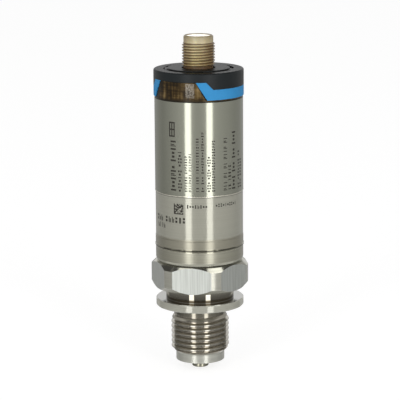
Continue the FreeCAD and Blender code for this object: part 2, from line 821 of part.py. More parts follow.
def link():
    """Pin header on the head of the main board, whose pins reach through the top board."""
    foot = f"({MAIN_BOARD_TOP} - link_height)"
    body = new_body("link_header", foot)
    middle = "(board_thickness / 2 + link_depth / 2)"
    places = [(f"{i - (CONTACT_COUNT - 1) / 2} * link_pin_pitch", middle) for i in range(CONTACT_COUNT)]

    def square(sketch, x, y, side):
        half = f"({side}) / 2"
        add_outline(sketch, rectangle(f"{x} - {half}", f"{y} - {half}", f"{x} + {half}", f"{y} + {half}"))

    def draw(sketch):
        add_outline(sketch, rectangle(
            "-link_width / 2", "board_thickness / 2", "link_width / 2", "board_thickness / 2 + link_depth",
        ))
        for x, y in places:
            square(sketch, x, y, "link_pin_side + slip_gap")

    pad(body, "moulding", draw, "0", "link_height")
    length = f"{LEDGE} + link_pin_head - {foot}"
    pins = []
    for number, (x, y) in enumerate(places):
        half = "link_pin_side / 2"
        pins.append(block(f"link_pin_{number}", "link_pin_side", "link_pin_side", length,
                          f"{x} - {half}", f"{y} - {half}", foot))
    group("link_pins", pins)
    return places


def contact_places():
    return [on_circle("contact_circle_radius", i * FULL_TURN / CONTACT_COUNT) for i in range(CONTACT_COUNT)]


def top_board(link_places):
    """Round board under the plug's ledge, soldered to the plug's contacts and the link's pins."""
    body = new_body("top_board", TOP_BOARD_FOOT)

    def draw(sketch):
        add_circle(sketch, f"{SKIRT_BORE} - plastic_gap")
        for x, y in contact_places():
            add_circle(sketch, "contact_radius + slip_gap", x, y)
        for x, y in link_places:
            add_circle(sketch, "link_pin_side / sqrt(2) + slip_gap", x, y)

    pad(body, "board", draw, "0", "top_board_thickness")


# ---- plug ----------------------------------------------------------------------------------------


def plug_body():
    """Amber moulding: skirt with seal grooves, flange, two windows, plate and round plug."""
    body = new_body("plug_body", TUBE_TOP)
    shoulder = "(plug_flange_thickness + ring_foot_gap + ring_height - ring_roof - slip_gap)"
    roof = "(recess_height - plate_thickness)"
    thread_foot = "(recess_height + plug_neck_length)"
    thread_head = f"({thread_foot} + plug_thread_length)"
    window_head = "(plug_flange_thickness + window_height - plastic_gap)"
    turned(body, "moulding", [
        ("0", "-skirt_length"),
        (f"{SKIRT_RADIUS} - skirt_lead", "-skirt_length"),
        (SKIRT_RADIUS, "skirt_lead - skirt_length"),
        (SKIRT_RADIUS, "0"),
        (PLUG_FLANGE_RADIUS, "0"),
        (PLUG_FLANGE_RADIUS, "plug_flange_thickness"),
        (WINDOW_WALL, "plug_flange_thickness"),
        (WINDOW_WALL, shoulder),
        (RIM_BORE, shoulder),
        (RIM_BORE, "recess_height"),
        (PLUG_ROOT, "recess_height"),
        (PLUG_ROOT, thread_foot),
        ("plug_thread_radius", f"{thread_foot} + plug_thread_depth"),
        ("plug_thread_radius", f"{thread_head} - plug_thread_depth"),
        (PLUG_ROOT, thread_head),
        (PLUG_ROOT, f"{SOCKET_MOUTH} - plug_chamfer"),
        (f"{PLUG_ROOT} - plug_chamfer", SOCKET_MOUTH),
        ("0", SOCKET_MOUTH),
    ])
    wedge_pair(
        body, "window", "AdditiveLoft",
        ("plug_flange_thickness", "(window_foot_half - window_gap_angle)"),
        (window_head, "(window_head_half - window_gap_angle)"),
    )
    turned(body, "window_face", rectangle(
        WINDOW_FACE, "plug_flange_thickness", f"3 * {RING_RADIUS}", window_head,
    ), "Groove")
    turned(body, "cavity", [
        ("0", "-skirt_length"), (SKIRT_BORE, "-skirt_length"), (SKIRT_BORE, "ledge_height"),
        (LEDGE_RADIUS, "ledge_height"), (LEDGE_RADIUS, roof), ("0", roof),
    ], "Groove")
    turned(body, "socket", [
        ("0", SOCKET_FLOOR), ("socket_radius", SOCKET_FLOOR),
        ("socket_radius", f"{SOCKET_MOUTH} - socket_chamfer"),
        ("socket_radius + socket_chamfer", SOCKET_MOUTH), ("0", SOCKET_MOUTH),
    ], "Groove")
    seal_half = "(o_ring_section + o_ring_room)"
    for name, depth, floor, half in (
        ("upper_seal_groove", "upper_o_ring_depth", O_RING_FLOOR, seal_half),
        ("lower_seal_groove", "lower_o_ring_depth", O_RING_FLOOR, seal_half),
        ("retaining_groove", "snap_ring_depth", f"{SNAP_RING_BORE} - plastic_gap",
         "(snap_ring_thickness / 2 + slip_gap)"),
    ):
        section = rectangle(floor, f"-{depth} - {half}", "tube_radius", f"{half} - {depth}")
        turned(body, name, section, "Groove")

    def contact_holes(sketch):
        for x, y in contact_places():
            add_circle(sketch, "contact_radius + slip_gap", x, y)

    pocket(body, "contact_holes", contact_holes, roof, f"{SOCKET_FLOOR} - {roof}")
    pocket(body, "vent_hole", lambda s: add_circle(s, "vent_hole_radius", y=FILTER_OFFSET),
           roof, "plate_thickness")
    pocket(body, "filter_seat", lambda s: add_circle(s, f"{FILTER_RADIUS} + slip_gap", y=FILTER_OFFSET),
           "recess_height - filter_thickness", "filter_thickness")

    def key(sketch):
        outer = "(socket_radius + key_height / 2)"
        inner = "(socket_radius - key_height)"
        corners = rectangle(inner, "-key_width / 2", outer, "key_width / 2")
        add_outline(sketch, swung(corners, KEY_ANGLE))

    pad(body, "key", key, SOCKET_FLOOR, "socket_depth - socket_chamfer")


def contact_pins():
    """Four pins of the plug, from under the top board to just below the socket's mouth."""
    foot = f"({TOP_BOARD_FOOT} - contact_tail)"
    tip_foot = f"({TUBE_TOP} + {SOCKET_MOUTH} - contact_recess - contact_tip)"
    pins = []
    for number, (x, y) in enumerate(contact_places()):
        shank = rod(f"contact_shank_{number}", "contact_radius", f"{tip_foot} - {foot}", x, y, foot)
        tip = doc.addObject("Part::Cone", f"contact_tip_{number}")
        bind(tip, Radius1="contact_radius", Radius2="contact_radius - contact_tip / 2", Height="contact_tip")
        place(tip, x, y, tip_foot)
        pin = doc.addObject("Part::Fuse", f"contact_{number}")
        pin.Base = shank
        pin.Tool = tip
        pins.append(pin)
    group("contact_pins", pins)


def filter_membrane():
    """Breathable disc over the vent hole."""
    disc = rod("filter_membrane", FILTER_RADIUS, "filter_thickness",
               y=FILTER_OFFSET, z=f"{RECESS_FLOOR} - filter_thickness")
    as_piece(disc, "filter_membrane")


def seals():
    """O-rings in the skirt's grooves, squeezed to the room between groove and tube."""
    for label, depth in (("o_ring_upper", "upper_o_ring_depth"), ("o_ring_lower", "lower_o_ring_depth")):
        ring = doc.addObject("Part::Torus", label)
        bind(ring, Radius1=f"{O_RING_FLOOR} + o_ring_section + slip_gap / 2", Radius2="o_ring_section")
        place(ring, z=f"{TUBE_TOP} - {depth}")
        as_piece(ring, label)


def retaining_ring():
    """Open spring ring that locks the plug in the tube."""
    body = new_body("retaining_ring", f"{TUBE_TOP} - snap_ring_depth - snap_ring_thickness / 2")
    turned(body, "ring", rectangle(
        SNAP_RING_BORE, "0", f"{SNAP_GROOVE_RADIUS} - slip_gap", "snap_ring_thickness",
    ))
    reach = "(2 * tube_radius)"
    half_width = f"{reach} * tan(snap_ring_half_opening)"
    opening = [("0", "0"), (reach, f"-{half_width}"), (reach, half_width)]
    pocket(body, "opening", lambda s: add_outline(s, opening), "0", "snap_ring_thickness")


# ---- cap rings -----------------------------------------------------------------------------------


def accent_ring():
    """Coloured ring: a liner with a band at its foot that climbs beside the windows."""
    body = new_body("accent_ring", RING_FOOT)
    liner_top = "(ring_height - ring_roof - slip_gap)"
    turned(body, "blank", [
        ("0", "0"),
        (RING_RADIUS, "0"),
        (RING_RADIUS, "accent_height"),
        (f"{LINER_RADIUS} - slip_gap", "accent_height"),
        (f"{LINER_RADIUS} - slip_gap", liner_top),
        ("0", liner_top),
    ])
    wedge_pair(body, "cheek", "AdditiveLoft",
               ("accent_height", "panel_foot_half"), ("window_height", "panel_head_half"))
    turned(body, "cheek_face", rectangle(
        RING_RADIUS, "accent_height", f"3 * {RING_RADIUS}", "window_height",
    ), "Groove")
    wedge_pair(body, "window", "SubtractiveLoft",
               ("0", "window_foot_half"), ("window_height", "window_head_half"))
    pocket(body, "bore", lambda s: add_circle(s, LINER_BORE), "0", liner_top)


def design_ring():
    """Black ring over the coloured one, with a flat roof and two panels between the windows."""
    body = new_body("design_ring", RING_FOOT)
    ring = turned(body, "ring", [
        (LINER_RADIUS, "accent_height + slip_gap"),
        (RING_RADIUS, "accent_height + slip_gap"),
        (RING_RADIUS, "ring_height"),
        (RIM_BORE, "ring_height"),
        (RIM_BORE, "ring_height - ring_roof"),
        (LINER_RADIUS, "ring_height - ring_roof"),
    ])
    top = value_of("ring_height")
    outer = value_of(RING_RADIUS)

    def top_edge(edge):
        box = edge.BoundBox
        return abs(box.ZMin - top) < NEAR and abs(box.ZMax - top) < NEAR and box.XMax > outer - NEAR

    rounded(body, "soft_edge", ring, "ring_edge_radius", top_edge)
    wedge_pair(
        body, "cheek_gap", "SubtractiveLoft",
        ("accent_height", "(panel_foot_half + panel_gap_angle)"),
        ("window_height + slip_gap", "(panel_head_half + panel_gap_angle)"),
    )


def cover_disc():
    """Cap over the filter: a thin roof on two walls, an air notch, and tongues that meet the black ring."""
    body = new_body("cover_disc", RECESS_FLOOR)
    ring_top = f"({RING_FOOT} + ring_height - {RECESS_FLOOR})"
    top = f"({ring_top} + disc_proud)"
    inner_face = f"{DISC_BORE} + disc_wall"
    outer_face = f"{DISC_RADIUS} - disc_wall"
    turned(body, "cap", [
        (DISC_BORE, "0"),
        (inner_face, "0"),
        (inner_face, f"{top} - ring_roof"),
        (outer_face, f"{top} - ring_roof"),
        (outer_face, "0"),
        (DISC_RADIUS, "0"),
        (DISC_RADIUS, f"{top} - disc_edge"),
        (f"{DISC_RADIUS} - disc_edge", top),
        (f"{DISC_BORE} + disc_edge", top),
        (DISC_BORE, f"{top} - disc_edge"),
    ])
    half = "disc_notch_width / 2"
    notch = rectangle(f"-{half}", f"{outer_face} - disc_wall", half, f"{DISC_RADIUS} + disc_wall")
    pocket(body, "notch", lambda s: add_outline(s, notch), "0", "disc_notch_height")
    for number, (angle, width) in enumerate(TONGUES):
        reach = f"sqrt(({RIM_BORE} - slip_gap) ^ 2 - ({width} / 2) ^ 2)"
        tongue = rectangle(outer_face, f"-{width} / 2", reach, f"{width} / 2")
        pad(body, f"tongue_{number}", lambda s: add_outline(s, swung(tongue, angle)),
            f"{ring_top} - tongue_thickness", "tongue_thickness")


# ---- the whole ---------------------------------------------------------------------------------


def build():
    process_connection()
    sensor_body()
    housing_tube()
    isolating_diaphragm()
    cell_body()
    displacement_ring()
    sensor_header()
    header_leads()
    sensing_chip()
    fill_ball()
    support_ring()
    sensor_board()
    board_carrier()
    main_board()
    board_parts()
    flex_cable()
    top_board(link())
    plug_body()
    contact_pins()
    filter_membrane()
    seals()
    retaining_ring()
    accent_ring()
    design_ring()
    cover_disc()
    doc.recompute()


def write_steps():
    """Checks every object and every piece's shape, then writes one file for each piece."""
    for thing in doc.Objects:
        if {"Invalid", "Error"} & set(thing.State):
            raise RuntimeError(f"{thing.Label} failed: {thing.State}")
    for piece in pieces:
        if piece.Shape.isNull() or not piece.Shape.isValid():
            raise RuntimeError(f"{piece.Label} has no valid shape")
    os.makedirs("parts", exist_ok=True)
    for piece in pieces:
        piece.Shape.exportStep(f"parts/{piece.Label}.step")
        print(f"{piece.Label:22s} {len(piece.Shape.Solids)} solid(s) {piece.Shape.Volume:10.2f} mm3")


build()
write_steps()
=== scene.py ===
"""Pressure transmitter: finishes, screw threads, laser marks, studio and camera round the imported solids.

Metres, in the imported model's frame: +Z up along the axis, with the sealing face of the spigot at z = 0.
Levels and radii are those of the nodes' boxes, of the connection's turned profile and of the two
standard threads.
"""

import math
import random

import bmesh
import bpy
from mathutils import Matrix, Vector

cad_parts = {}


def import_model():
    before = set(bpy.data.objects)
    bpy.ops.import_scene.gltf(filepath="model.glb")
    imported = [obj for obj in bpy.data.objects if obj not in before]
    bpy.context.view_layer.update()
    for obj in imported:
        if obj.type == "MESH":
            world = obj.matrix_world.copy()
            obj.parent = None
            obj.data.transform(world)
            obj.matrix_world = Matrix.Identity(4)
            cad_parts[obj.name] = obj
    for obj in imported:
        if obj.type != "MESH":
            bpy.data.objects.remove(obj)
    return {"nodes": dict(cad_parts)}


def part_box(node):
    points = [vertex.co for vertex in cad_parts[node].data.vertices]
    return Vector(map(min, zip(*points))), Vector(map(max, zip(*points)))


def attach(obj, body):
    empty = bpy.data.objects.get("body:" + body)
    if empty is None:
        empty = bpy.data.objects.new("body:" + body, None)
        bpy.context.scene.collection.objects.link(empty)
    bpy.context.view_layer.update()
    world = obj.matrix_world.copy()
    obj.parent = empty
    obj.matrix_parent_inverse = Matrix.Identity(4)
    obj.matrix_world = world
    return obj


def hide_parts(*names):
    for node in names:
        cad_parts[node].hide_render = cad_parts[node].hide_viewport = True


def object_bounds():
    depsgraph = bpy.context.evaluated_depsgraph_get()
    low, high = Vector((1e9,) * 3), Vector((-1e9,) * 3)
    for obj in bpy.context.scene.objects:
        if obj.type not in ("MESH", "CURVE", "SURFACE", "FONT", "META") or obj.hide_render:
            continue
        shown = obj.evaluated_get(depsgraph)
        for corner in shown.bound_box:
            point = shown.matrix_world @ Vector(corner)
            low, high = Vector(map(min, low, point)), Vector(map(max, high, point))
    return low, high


MM = 0.001
MERGE = 1e-6  # corners this close are one
SMOOTH_UP_TO = math.radians(14)  # a bend sharper than this is a real edge

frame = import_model()
nodes = frame["nodes"]
cad_low, cad_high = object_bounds()


# ---- the object's levels and radii ---------------------------------------------------------------

TUBE_LOW, TUBE_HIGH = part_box("housing_tube")
TUBE_RADIUS = TUBE_HIGH.x
SLEEVE_RADIUS = TUBE_RADIUS - 0.11 * MM
SLEEVE_TOP = TUBE_LOW.z
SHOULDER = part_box("sensor_body")[0].z
BAND_TOP = SHOULDER + 4.1 * MM
JOINT = 0.3 * MM  # height of the dark line between the collar and the sleeve

STUB_TOP = 3 * MM
UNDERCUT_FOOT = 17.1 * MM
FLANGE_FOOT = 20.4 * MM
FLANGE_TOP = 23.2 * MM
HEX_FOOT = 27.3 * MM
HEX_TOP = 36.95 * MM
HEX_CHAMFER = 1.5 * MM
FLAT_DISTANCE = 16 * MM
TAPER_TOP = 38.4 * MM
THREAD_ROOT = 9.3155 * MM
THREAD_CREST = 10.4775 * MM

WINDOW_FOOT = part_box("accent_ring")[0].z
WINDOW_HEAD = WINDOW_FOOT + 6.2 * MM
WINDOW_TURN = math.radians(20.6)
WINDOW_HALF_ANGLES = math.radians(39.9), math.radians(26.8)  # at its foot and at its head
RIM_RADIUS = 11.2 * MM  # of the hole in the black ring's roof

PLUG_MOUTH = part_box("plug_body")[1].z
PLUG_THREAD_FOOT = PLUG_MOUTH - 11 * MM
PLUG_THREAD_HEAD = PLUG_MOUTH - 2.5 * MM
PLUG_PITCH = 1 * MM
PLUG_CREST = 5.9 * MM
PLUG_ROOT = 5.3 * MM
PLUG_CORE = 4.9 * MM


# ---- materials -----------------------------------------------------------------------------------


def add(tree, kind, inputs=None, **settings):
    """A shader node with its settings; each input is a value or another node's output."""
    node = tree.nodes.new("ShaderNode" + kind)
    for name, value in settings.items():
        setattr(node, name, value)
    for socket, value in (inputs or {}).items():
        if isinstance(value, bpy.types.NodeSocket):
            tree.links.new(value, node.inputs[socket])
        else:
            node.inputs[socket].default_value = value
    return node


def new_material(name, **values):
    """A material and its principled shader, whose sockets are set by name with _ for a space."""
    material = bpy.data.materials.new(name)
    material.use_nodes = True
    shader = material.node_tree.nodes["Principled BSDF"]
    for socket, value in values.items():
        shader.inputs[socket.replace("_", " ")].default_value = value
    return material, material.node_tree, shader


def grey(value):
    return (value, value, value, 1)


def srgb(red, green, blue):
    """A display colour of 0 to 255 as linear light."""
    def linear(c):
        c = c / 255
        return c / 12.92 if c <= 0.04045 else ((c + 0.055) / 1.055) ** 2.4
    return (linear(red), linear(green), linear(blue), 1)


def grain(tree, around, along, detail=3.0, distortion=0.0):
    """Noise on the object's own coordinates, in marks per metre across and along the axis."""
    place = add(tree, "TexCoord").outputs["Object"]
    stretched = add(tree, "Mapping", {"Vector": place, "Scale": (around, around, along)})
    return add(tree, "TexNoise", {
        "Vector": stretched.outputs[0], "Scale": 1.0, "Detail": detail, "Distortion": distortion,
    }).outputs["Fac"]


def height_above(tree, level, soft=0.08 * MM):
    """0 below a level and 1 above it, rising over a short height."""
    return between(tree, coordinates(tree)["Z"], level - soft / 2, level + soft / 2)


def by_level(tree, first, *steps):
    """A colour or number that changes at each (level, value) step on the way up."""
    value = first
    for level, after in steps:
        value = blend(tree, height_above(tree, level), value, after)
    return value


def ramp(tree, factor, *stops):
    """A colour ramp through (place, colour) stops."""
    node = add(tree, "ValToRGB", {"Fac": factor})
    elements = node.color_ramp.elements
    while len(elements) < len(stops):
        elements.new(0.5)
    for element, (place, colour) in zip(elements, stops):
        element.position = place
        element.color = colour
    return node.outputs["Color"]


def spread(tree, factor, low, high):
    """Noise, which lies between about 0.3 and 0.7, spread from low to high."""
    return between(tree, factor, 0.3, 0.7, low, high)


def between(tree, value, start, end, low=0.0, high=1.0):
    """The value's place between start and end, held there and spread from low to high."""
    return add(tree, "MapRange", {
        "Value": value, "From Min": start, "From Max": end, "To Min": low, "To Max": high,
    }, clamp=True).outputs[0]


def maths(tree, operation, first, second=0.0):
    return add(tree, "Math", {0: first, 1: second}, operation=operation).outputs[0]


def coordinates(tree):
    """The object's own x, y and z."""
    place = add(tree, "TexCoord").outputs["Object"]
    return add(tree, "SeparateXYZ", {"Vector": place}).outputs


def axis_distance(tree):
    x, y, _ = coordinates(tree)
    return maths(tree, "SQRT", maths(tree, "ADD", maths(tree, "POWER", x, 2.0), maths(tree, "POWER", y, 2.0)))


def blend(tree, factor, first, second):
    """First where the factor is 0 and second where it is 1; either may be a colour or an output."""
    return add(tree, "MixRGB", {"Fac": factor, "Color1": first, "Color2": second}).outputs[0]


def scaled(colour, share):
    return (colour[0] * share, colour[1] * share, colour[2] * share, 1)


def relief(tree, shader, height, depth):
    """Bump of a given depth in metres."""
    bump = add(tree, "Bump", {"Height": height, "Distance": depth, "Strength": 1.0})
    tree.links.new(bump.outputs[0], shader.inputs["Normal"])


def upright_sheen(tree, shader, amount):
    """Spreads highlights along the axis, as grooves that run round the piece do."""
    shader.inputs["Anisotropic"].default_value = amount
    up = add(tree, "CombineXYZ", {"Z": 1.0}).outputs[0]
    tree.links.new(up, shader.inputs["Tangent"])


def steel(name, colour, roughness, sheen, around, along, depth):
    """Bare steel: a fine grain in its tone, gloss and relief."""
    contrast = 0.05
    material, tree, shader = new_material(name, Metallic=1.0)
    fine = grain(tree, around, along)
    cloud = grain(tree, 60, 60, detail=2.0)
    tone = blend(tree, fine, scaled(colour, 1 - contrast), scaled(colour, 1 + contrast))
    tone = blend(tree, spread(tree, cloud, 0.0, 0.35), tone, scaled(colour, 1 - 2 * contrast))
    tree.links.new(tone, shader.inputs["Base Color"])
    tree.links.new(spread(tree, fine, roughness * 0.9, roughness * 1.12), shader.inputs["Roughness"])
    relief(tree, shader, fine, depth)
    if sheen:
        upright_sheen(tree, shader, sheen)
    return material


def sleeve_steel():
    """The sleeve's satin steel, the coarser turned band at its foot and the dark line of the joint."""
    soft = 0.15 * MM
    satin = srgb(169, 168, 155)
    band = srgb(147, 144, 130)
    material, tree, shader = new_material("sleeve_steel")
    above = height_above(tree, BAND_TOP, 0.25 * MM)
    texture = blend(tree, above, grain(tree, 20, 2200), grain(tree, 30, 5000))
    tone = blend(tree, above, band, satin)
    tone = blend(tree, spread(tree, texture, 0.0, 0.14), tone, scaled(band, 0.55))
    tone = blend(tree, height_above(tree, SHOULDER + JOINT / 2, soft), scaled(band, 0.12), tone)
    tone = blend(tree, height_above(tree, SLEEVE_TOP - 0.5 * MM, soft), tone, scaled(satin, 0.5))
    tree.links.new(tone, shader.inputs["Base Color"])
    lip = SHOULDER + JOINT / 2 + 0.4 * MM
    metal = by_level(tree, grey(1.0), (lip, grey(0.7)), (BAND_TOP, grey(0.31)))
    rough = by_level(tree, grey(0.1), (lip, grey(0.34)), (BAND_TOP, grey(0.18)))
    tree.links.new(metal, shader.inputs["Metallic"])
    tree.links.new(rough, shader.inputs["Roughness"])
    relief(tree, shader, texture, 0.0012 * MM)
    upright_sheen(tree, shader, 0.8)
    return material


def hex_flats(tree):
    """1 on the six flats of the hexagon and 0 elsewhere: a flat keeps one distance from the axis."""
    x, y, _ = coordinates(tree)
    sixth = math.tau / 6
    turn = maths(tree, "ADD", maths(tree, "ARCTAN2", x, y), math.tau + sixth / 2)
    turn = maths(tree, "SUBTRACT", maths(tree, "MODULO", turn, sixth), sixth / 2)
    distance = maths(tree, "MULTIPLY", axis_distance(tree), maths(tree, "COSINE", turn))
    off = maths(tree, "ABSOLUTE", maths(tree, "SUBTRACT", distance, FLAT_DISTANCE))
    flat = maths(tree, "LESS_THAN", off, 0.003 * MM)
    below = maths(tree, "SUBTRACT", 1.0, height_above(tree, HEX_TOP))
    return maths(tree, "MULTIPLY", flat, maths(tree, "MULTIPLY", height_above(tree, HEX_FOOT), below))


def connection_steel():
    """One bar of steel with each zone's finish, from the turned stub to the milled flats and the collar."""
    material, tree, shader = new_material("connection_steel")
    edge = 0.05 * MM
    # painted shade: the thread's tone darkens towards its root, in its grooves
    depth = between(tree, axis_distance(tree), THREAD_ROOT, THREAD_CREST)
    thread = blend(tree, depth, srgb(165, 159, 147), srgb(181, 178, 169))
    # painted shade: the neck is dark brown at its foot, in the corner just above the flange
    neck_painted_shade = ramp(
        tree, between(tree, coordinates(tree)["Z"], FLANGE_TOP, HEX_FOOT),
        (0.2, srgb(72, 64, 50)), (0.32, srgb(164, 159, 146)), (1.0, srgb(173, 170, 159)),
    )
    lip = SHOULDER - JOINT / 2 - 0.5 * MM
    under_flange = FLANGE_FOOT - 0.9 * MM
    zones = (  # from a level up: its colour, how metallic it looks, and its roughness
        (0.0, srgb(188, 188, 179), 0.44, 0.28), (STUB_TOP + 0.4 * MM, thread, 1.0, 0.17),
        (UNDERCUT_FOOT, srgb(140, 136, 124), 1.0, 0.17),
        (under_flange, srgb(166, 166, 156), 0.5, 0.17),
        (FLANGE_FOOT, srgb(200, 199, 186), 0.17, 0.1), (FLANGE_TOP - edge, srgb(168, 168, 164), 1.0, 0.1),
        # painted shade: the hexagon's lower chamfer, which faces down, has a darker tone
        (FLANGE_TOP + edge, neck_painted_shade, 1.0, 0.05), (HEX_FOOT, srgb(140, 139, 128), 1.0, 0.15),
        (HEX_FOOT + HEX_CHAMFER, srgb(174, 173, 162), 0.5, 0.2),
        (HEX_TOP - 1.55 * MM, srgb(172, 171, 160), 1.0, 0.12), (HEX_TOP, srgb(168, 167, 154), 0.9, 0.12),
        (TAPER_TOP, srgb(153, 151, 137), 0.68, 0.32), (lip, srgb(160, 158, 144), 1.0, 0.1),
    )
    tone = by_level(tree, srgb(144, 142, 128), *((level, colour) for level, colour, _, _ in zones))
    metal = by_level(tree, grey(1.0), *((level, grey(share)) for level, _, share, _ in zones))
    rough = by_level(tree, grey(0.22), *((level, grey(gloss)) for level, _, _, gloss in zones))
    milled = hex_flats(tree)
    texture = blend(tree, milled, grain(tree, 20, 3200), grain(tree, 2700, 60, detail=4.0))
    tone = blend(tree, milled, tone, srgb(180, 183, 178))
    wear = spread(tree, texture, 0.0, blend(tree, milled, grey(0.22), grey(0.38)))
    tone = blend(tree, wear, tone, srgb(84, 82, 74))
    tone = blend(tree, height_above(tree, SHOULDER - JOINT / 2, 0.15 * MM), tone, srgb(40, 38, 32))
    tree.links.new(tone, shader.inputs["Base Color"])
    tree.links.new(blend(tree, milled, metal, grey(0.44)), shader.inputs["Metallic"])
    tree.links.new(blend(tree, milled, rough, grey(0.3)), shader.inputs["Roughness"])
    cut = by_level(tree, grey(1.0), (FLANGE_TOP + edge, grey(0.15)), (HEX_FOOT, grey(1.0)))
    relief(tree, shader, maths(tree, "MULTIPLY", texture, cut), 0.002 * MM)
    upright_sheen(tree, shader, 0.4)
    return material


def laser_oxide():
    """Dark oxide that a laser leaves on steel."""
    material, tree, shader = new_material("laser_oxide", Metallic=0.3)
    speck = grain(tree, 4000, 4000)
    tone = ramp(tree, speck, (0.3, srgb(24, 21, 16)), (0.7, srgb(52, 47, 38)))
    tree.links.new(tone, shader.inputs["Base Color"])
    tree.links.new(spread(tree, speck, 0.5, 0.7), shader.inputs["Roughness"])
    relief(tree, shader, speck, 0.004 * MM)
    return material


def moulded(name, colour, lighter, roughness, depth, specular=0.5):
    """Moulded plastic with a fine spark-eroded texture and a slight cloud in its colour."""
    material, tree, shader = new_material(name, Specular_IOR_Level=specular)
    texture = grain(tree, 5200, 5200, detail=4.0)
    cloud = grain(tree, 90, 90)
    tone = blend(tree, spread(tree, cloud, 0.0, 1.0), colour, lighter)
    tone = blend(tree, spread(tree, texture, 0.0, 0.25), tone, lighter)
    tree.links.new(tone, shader.inputs["Base Color"])
    tree.links.new(spread(tree, texture, roughness * 0.85, roughness * 1.15), shader.inputs["Roughness"])
    relief(tree, shader, texture, depth)
    return material


def within(tree, value, start, end):
    """1 between start and end and 0 outside."""
    half = (end - start) / 2
    off = maths(tree, "ABSOLUTE", maths(tree, "SUBTRACT", value, start + half))
    return maths(tree, "LESS_THAN", off, half)


def speckled_patch(tree):
    """Pale specks in a small upright field on the front window, stronger towards its head."""
    x, y, z = coordinates(tree)
    left, right = -1.8 * MM, 1.3 * MM
    foot, head = WINDOW_FOOT + 0.75 * MM, WINDOW_HEAD - 0.35 * MM
    field = maths(tree, "MULTIPLY", within(tree, x, left, right), within(tree, z, foot, head))
    field = maths(tree, "MULTIPLY", field, maths(tree, "LESS_THAN", y, 0.0))
    field = maths(tree, "MULTIPLY", field, between(tree, z, foot - 0.8 * MM, head - 0.9 * MM, 0.5, 1.0))
    return maths(tree, "MULTIPLY", field, spread(tree, grain(tree, 2000, 2600, detail=1.0), 0.1, 0.85))


def window_gap_shade(tree):
    """Painted shade in the gap down the slanted sides of the two windows, wider towards its foot."""
    x, y, z = coordinates(tree)
    turn = maths(tree, "ARCTAN2", x, maths(tree, "MULTIPLY", y, -1.0))
    quarter = math.pi / 2
    turn = maths(tree, "MODULO", maths(tree, "ADD", turn, WINDOW_TURN + quarter + math.tau), math.pi)
    turn = maths(tree, "ABSOLUTE", maths(tree, "SUBTRACT", turn, quarter))
    side = maths(tree, "GREATER_THAN", turn, between(tree, z, WINDOW_FOOT, WINDOW_HEAD, *WINDOW_HALF_ANGLES))
    return maths(tree, "MULTIPLY", side, height_above(tree, WINDOW_FOOT))


def amber_window():
    """Dark amber moulding with faint upright streaks over clouds, paler towards +X with painted light."""
    material, tree, shader = new_material("amber_window", Specular_IOR_Level=0.12)
    streak = grain(tree, 640, 70, detail=5.0)
    weave = grain(tree, 160, 1500)
    cloud = grain(tree, 190, 190, distortion=0.6)
    x = coordinates(tree)["X"]
    mix = maths(tree, "ADD", maths(tree, "MULTIPLY", streak, 0.42), maths(tree, "MULTIPLY", weave, 0.2))
    mix = maths(tree, "ADD", mix, maths(tree, "MULTIPLY", cloud, 0.38))
    # painted light: the mix rises towards +X, so the window is paler on that side and darker towards -X
    mix = maths(tree, "ADD", mix, between(tree, x, -9 * MM, 5 * MM, -0.07, 0.045))
    tone = ramp(
        tree, mix,
        (0.40, srgb(34, 25, 10)), (0.47, srgb(68, 52, 26)),
        (0.54, srgb(112, 92, 56)), (0.63, srgb(152, 128, 86)),
    )
    tone = blend(tree, height_above(tree, WINDOW_FOOT, 1.2 * MM), scaled(srgb(40, 34, 24), 0.8), tone)
    # painted shade: near black along the gap between the blue ring and the amber window
    tone = blend(tree, window_gap_shade(tree), tone, srgb(4, 4, 3))
    tone = blend(tree, speckled_patch(tree), tone, srgb(188, 180, 166))
    tree.links.new(tone, shader.inputs["Base Color"])
    tree.links.new(spread(tree, streak, 0.2, 0.32), shader.inputs["Roughness"])
    relief(tree, shader, grain(tree, 1500, 240), 0.004 * MM)
    return material


def amber_plug():
    """The same moulding where its wall is thin, with painted light and shade: pale at the mouth, darker at
    its sides, deep amber in the grooves.
    """
    material, tree, shader = new_material(
        "amber_plug", IOR=1.6, Subsurface_Weight=0.2, Subsurface_Radius=(2.2, 1.3, 0.5),
        Subsurface_Scale=0.3 * MM,
    )
    x, _, z = coordinates(tree)
    # painted light: pale up towards the mouth, where light comes through the thin wall, and darker towards
    # the foot
    rise = between(tree, z, PLUG_THREAD_FOOT - 2 * MM, PLUG_MOUTH)
    tone = ramp(
        tree, rise,
        (0.0, srgb(164, 120, 58)), (0.25, srgb(255, 234, 174)),
        (0.7, srgb(255, 242, 194)), (0.84, srgb(222, 208, 164)), (1.0, srgb(186, 174, 138)),
    )
    # painted shade: darker brown towards the plug's left and right sides, less so above the thread
    side_shade = between(tree, maths(tree, "ABSOLUTE", x), 1 * MM, 5 * MM, 0.0, 0.7)
    side_shade = maths(tree, "MULTIPLY", side_shade, by_level(tree, grey(1.0), (PLUG_THREAD_HEAD, grey(0.45))))
    tone = blend(tree, side_shade, tone, srgb(108, 70, 20))
    # painted shade: deep amber in the thread's grooves
    groove_shade = between(tree, axis_distance(tree), PLUG_CREST, PLUG_ROOT)
    below = between(tree, z, PLUG_THREAD_HEAD - 0.1 * MM, PLUG_THREAD_HEAD, 0.9, 0.0)
    tone = blend(tree, maths(tree, "MULTIPLY", groove_shade, below), tone, srgb(86, 54, 16))
    cloud = grain(tree, 500, 120, detail=4.0)
    tone = blend(tree, spread(tree, cloud, 0.0, 0.4), tone, srgb(112, 84, 44))
    tree.links.new(tone, shader.inputs["Base Color"])
    tree.links.new(spread(tree, cloud, 0.34, 0.46), shader.inputs["Roughness"])
    relief(tree, shader, grain(tree, 1800, 1800), 0.003 * MM)
    return material


